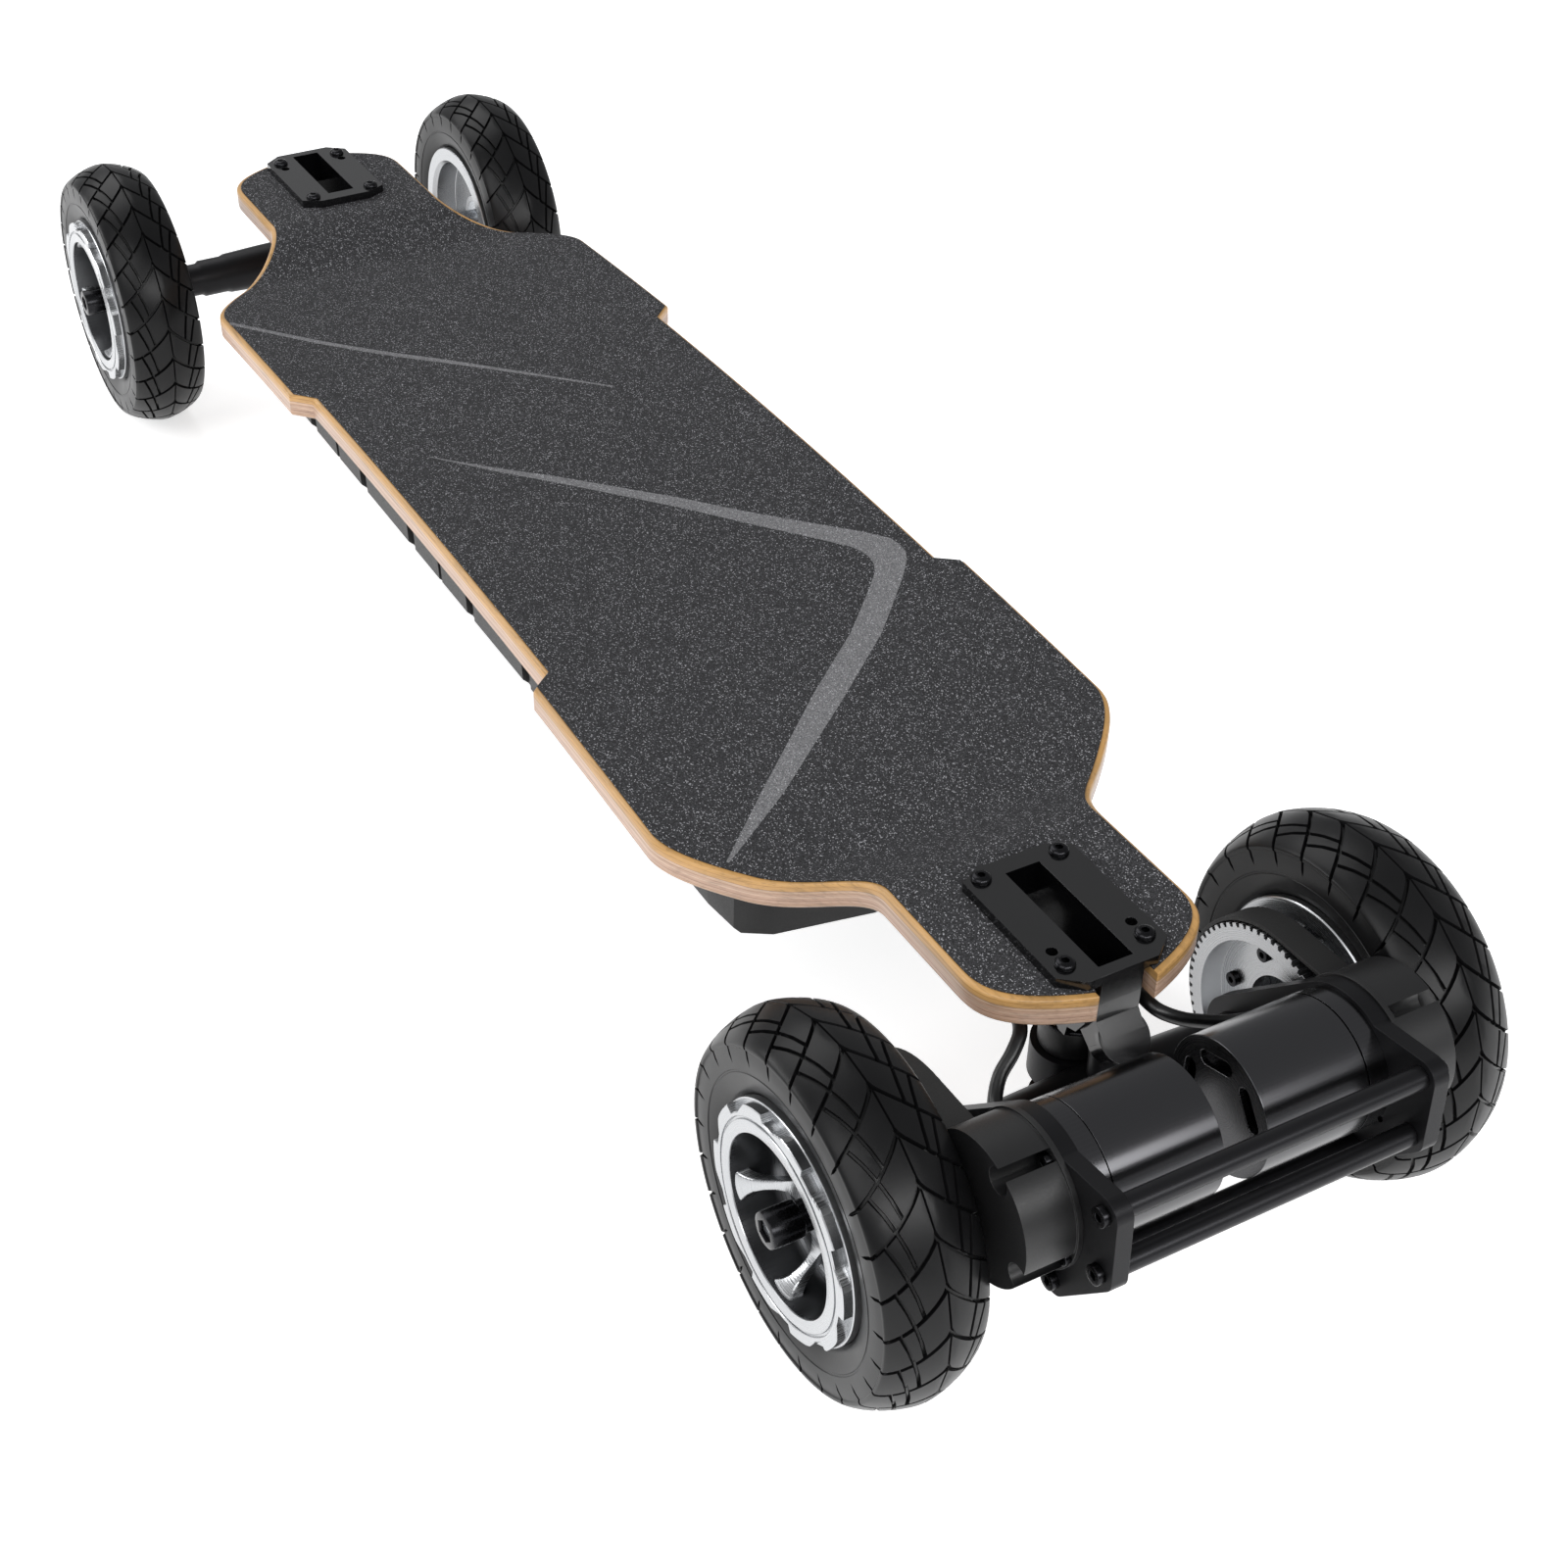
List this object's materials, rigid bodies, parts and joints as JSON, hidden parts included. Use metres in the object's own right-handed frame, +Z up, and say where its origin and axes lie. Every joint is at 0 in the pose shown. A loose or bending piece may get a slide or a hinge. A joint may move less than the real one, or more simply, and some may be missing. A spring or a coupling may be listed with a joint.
{
  "type": "electric skateboard",
  "caption": "Four-wheel electric skateboard: stepped wooden deck with grip sheet, sprung trucks, air-filled tyres, battery box below and twin belt-driven motors behind a rod guard.",
  "frame": {"origin": "on the ground, in the middle of the whole board's length and width", "axes": "+X towards the nose, +Y to the rider's left when facing the nose, +Z up"},
  "size_m": [1.1692, 0.3396, 0.178],
  "materials": {
    "bamboo": "clear satin lacquer over bamboo and maple plies",
    "grip": "coarse black grit",
    "box_plastic": "textured moulded plastic",
    "cell_wrap": "shrink sleeve",
    "black_plastic": "smooth satin plastic",
    "button_plastic": "gloss",
    "black_paint": "gloss black over cast aluminium",
    "black_anodised": "matt black anodised aluminium",
    "motor_black": "satin black",
    "bare_aluminium": "turned and bead-blasted",
    "bright_steel": "ground and plated",
    "black_steel": "black oxide",
    "rod_steel": "dark satin plating",
    "urethane": "cast urethane",
    "tyre_rubber": "moulded rubber",
    "belt_rubber": "moulded rubber with a fabric face",
    "cable_rubber": "soft cable jacket"
  },
  "bodies": {
    "board": {"deck": "bamboo", "grip_tape": "grip", "battery_box": "box_plastic", "battery_box_screws": "black_steel", "battery_cells": "cell_wrap", "speed_controller": "bare_aluminium", "button_housing": "black_plastic", "charge_port": "black_plastic", "front_baseplate": "black_paint", "rear_baseplate": "black_paint", "truck_screws": "black_steel", "truck_nuts": "bright_steel", "kingpins": "black_steel", "kingpin_washers": "bright_steel", "kingpin_nuts": "bright_steel", "front_bushings": "urethane", "rear_bushings": "urethane", "pivot_cups": "black_plastic", "left_motor_cable": "cable_rubber", "right_motor_cable": "cable_rubber"},
    "power_button": {"power_button": "button_plastic"},
    "charge_port_cap": {"charge_port_cap": "black_plastic"},
    "front_truck": {"front_hanger": "black_anodised", "front_axles": "bright_steel", "front_axle_nuts": "black_steel"},
    "rear_truck": {"rear_hanger": "black_anodised", "rear_axles": "bright_steel", "rear_axle_nuts": "black_steel", "left_motor_mount": "black_anodised", "right_motor_mount": "black_anodised", "left_belt_cover": "black_plastic", "right_belt_cover": "black_plastic", "drive_screws": "bright_steel", "motor_bases": "motor_black", "left_belt": "belt_rubber", "right_belt": "belt_rubber", "guard_rods": "rod_steel", "guard_screws": "black_steel"},
    "front_left_wheel": {"front_left_tyre": "tyre_rubber", "front_left_rim": "bare_aluminium", "front_left_bearings": "bright_steel"},
    "front_right_wheel": {"front_right_tyre": "tyre_rubber", "front_right_rim": "bare_aluminium", "front_right_bearings": "bright_steel"},
    "rear_left_wheel": {"rear_left_tyre": "tyre_rubber", "rear_left_rim": "bare_aluminium", "rear_left_bearings": "bright_steel", "left_wheel_pulley": "bare_aluminium", "left_pulley_screws": "black_steel"},
    "rear_right_wheel": {"rear_right_tyre": "tyre_rubber", "rear_right_rim": "bare_aluminium", "rear_right_bearings": "bright_steel", "right_wheel_pulley": "bare_aluminium", "right_pulley_screws": "black_steel"},
    "left_rotor": {"left_rotor": "motor_black", "left_motor_pulley": "bare_aluminium"},
    "right_rotor": {"right_rotor": "motor_black", "right_motor_pulley": "bare_aluminium"}
  },
  "joints": [
    {"name": "rear_truck_lean", "type": "hinge", "parent": "board", "child": "rear_truck", "pos_m": [-0.44537, 0, 0.092], "axis": [-0.6561, 0, 0.7547], "range_deg": [-15, 15], "stiffness_Nm_per_rad": 90, "deforming": ["rear_bushings", "left_motor_cable", "right_motor_cable"]},
    {"name": "front_truck_lean", "type": "hinge", "parent": "board", "child": "front_truck", "pos_m": [0.47063, 0, 0.092], "axis": [0.6561, 0, 0.7547], "range_deg": [-15, 15], "stiffness_Nm_per_rad": 90, "deforming": ["front_bushings"]},
    {"name": "front_left_wheel_spin", "type": "hinge", "parent": "front_truck", "child": "front_left_wheel", "pos_m": [0.49563, 0.136, 0.089], "axis": [0, 1, 0], "continuous": true},
    {"name": "front_right_wheel_spin", "type": "hinge", "parent": "front_truck", "child": "front_right_wheel", "pos_m": [0.49563, -0.136, 0.089], "axis": [0, 1, 0], "continuous": true},
    {"name": "rear_left_wheel_spin", "type": "hinge", "parent": "rear_truck", "child": "rear_left_wheel", "pos_m": [-0.47037, 0.136, 0.089], "axis": [0, 1, 0], "continuous": true},
    {"name": "rear_right_wheel_spin", "type": "hinge", "parent": "rear_truck", "child": "rear_right_wheel", "pos_m": [-0.47037, -0.136, 0.089], "axis": [0, 1, 0], "continuous": true},
    {"name": "left_motor_spin", "type": "hinge", "parent": "rear_truck", "child": "left_rotor", "pos_m": [-0.53063, 0.06, 0.12919], "axis": [0, 1, 0], "continuous": true},
    {"name": "right_motor_spin", "type": "hinge", "parent": "rear_truck", "child": "right_rotor", "pos_m": [-0.53063, -0.06, 0.12919], "axis": [0, 1, 0], "continuous": true},
    {"name": "power_button_press", "type": "slide", "parent": "board", "child": "power_button", "axis": [0, 1, 0], "range_m": [0, 0.0015], "stiffness_N_per_m": 800},
    {"name": "charge_port_cap_swing", "type": "hinge", "parent": "board", "child": "charge_port_cap", "pos_m": [0.08763, -0.1033, 0.131], "axis": [-1, 0, 0], "range_deg": [0, 110]}
  ],
  "couplings": [
    {"joint": "left_motor_spin", "follows": "rear_left_wheel_spin", "ratio": 4},
    {"joint": "right_motor_spin", "follows": "rear_right_wheel_spin", "ratio": 4}
  ]
}
